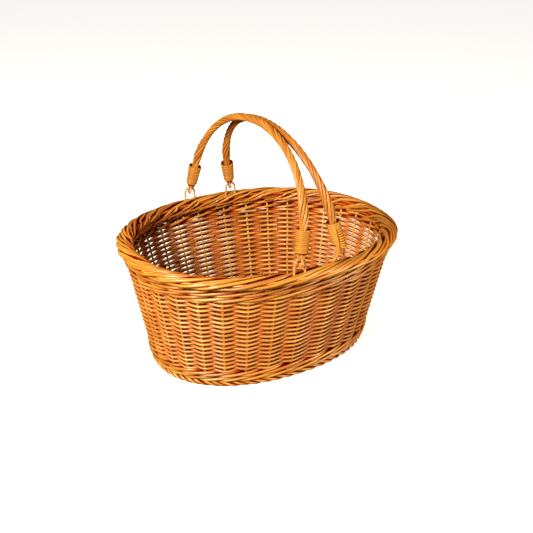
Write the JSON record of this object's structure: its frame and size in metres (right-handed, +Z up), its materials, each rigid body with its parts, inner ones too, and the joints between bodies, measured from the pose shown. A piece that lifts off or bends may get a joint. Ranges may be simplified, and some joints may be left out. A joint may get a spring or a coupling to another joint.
{
  "type": "oval wicker harvest basket",
  "caption": "Oval flared basket of round woven willow rods, open on top, with a bound foot, a plaited rim and swing handles of twisted rod hooked over small arches.",
  "frame": {"origin": "centre of the foot's underside, on the floor", "axes": "+X along the basket's long axis, +Z up, -Y the long side nearest the viewer in the picture"},
  "size_m": [0.42, 0.352, 0.3527],
  "materials": {
    "siding": "satin, peeled and stained willow rods",
    "stake": "satin willow rod",
    "wale": "satin willow rods",
    "border": "satin willow rods",
    "base_weave": "matt willow rods",
    "rope": "satin twisted willow",
    "collar": "satin split willow",
    "cane": "matt pale cane"
  },
  "bodies": {
    "basket": {"base_weave": "base_weave", "base_long_stick_1": "stake", "base_long_stick_2": "stake", "base_long_stick_3": "stake", "base_cross_stick_1": "stake", "base_cross_stick_2": "stake", "base_cross_stick_3": "stake", "base_cross_stick_4": "stake", "base_cross_stick_5": "stake", "foot_border": "border", "lower_wale": "wale", "side_weave": "siding", "upper_wale": "wale", "rim_border": "border", "stake_01": "stake", "stake_02": "stake", "stake_03": "stake", "stake_04": "stake", "stake_05": "stake", "stake_06": "stake", "stake_07": "stake", "stake_08": "stake", "stake_09": "stake", "stake_10": "stake", "stake_11": "stake", "stake_12": "stake", "stake_13": "stake", "stake_14": "stake", "stake_15": "stake", "stake_16": "stake", "stake_17": "stake", "stake_18": "stake", "stake_19": "stake", "stake_20": "stake", "stake_21": "stake", "stake_22": "stake", "stake_23": "stake", "stake_24": "stake", "stake_25": "stake", "stake_26": "stake", "stake_27": "stake", "stake_28": "stake", "stake_29": "stake", "stake_30": "stake", "stake_31": "stake", "stake_32": "stake", "left_front_arch": "cane", "left_back_arch": "cane", "right_front_arch": "cane", "right_back_arch": "cane"},
    "left_handle": {"left_handle_rope": "rope", "left_front_collar": "collar", "left_back_collar": "collar", "left_front_eye": "cane", "left_back_eye": "cane"},
    "right_handle": {"right_handle_rope": "rope", "right_front_collar": "collar", "right_back_collar": "collar", "right_front_eye": "cane", "right_back_eye": "cane"}
  },
  "joints": [
    {"name": "left_handle_swing", "type": "hinge", "parent": "basket", "child": "left_handle", "pos_m": [-0.0344, 0, 0.19755], "axis": [0, -1, 0], "range_deg": [0, 100]},
    {"name": "right_handle_swing", "type": "hinge", "parent": "basket", "child": "right_handle", "pos_m": [0.0344, 0, 0.19755], "axis": [0, 1, 0], "range_deg": [0, 100]}
  ]
}
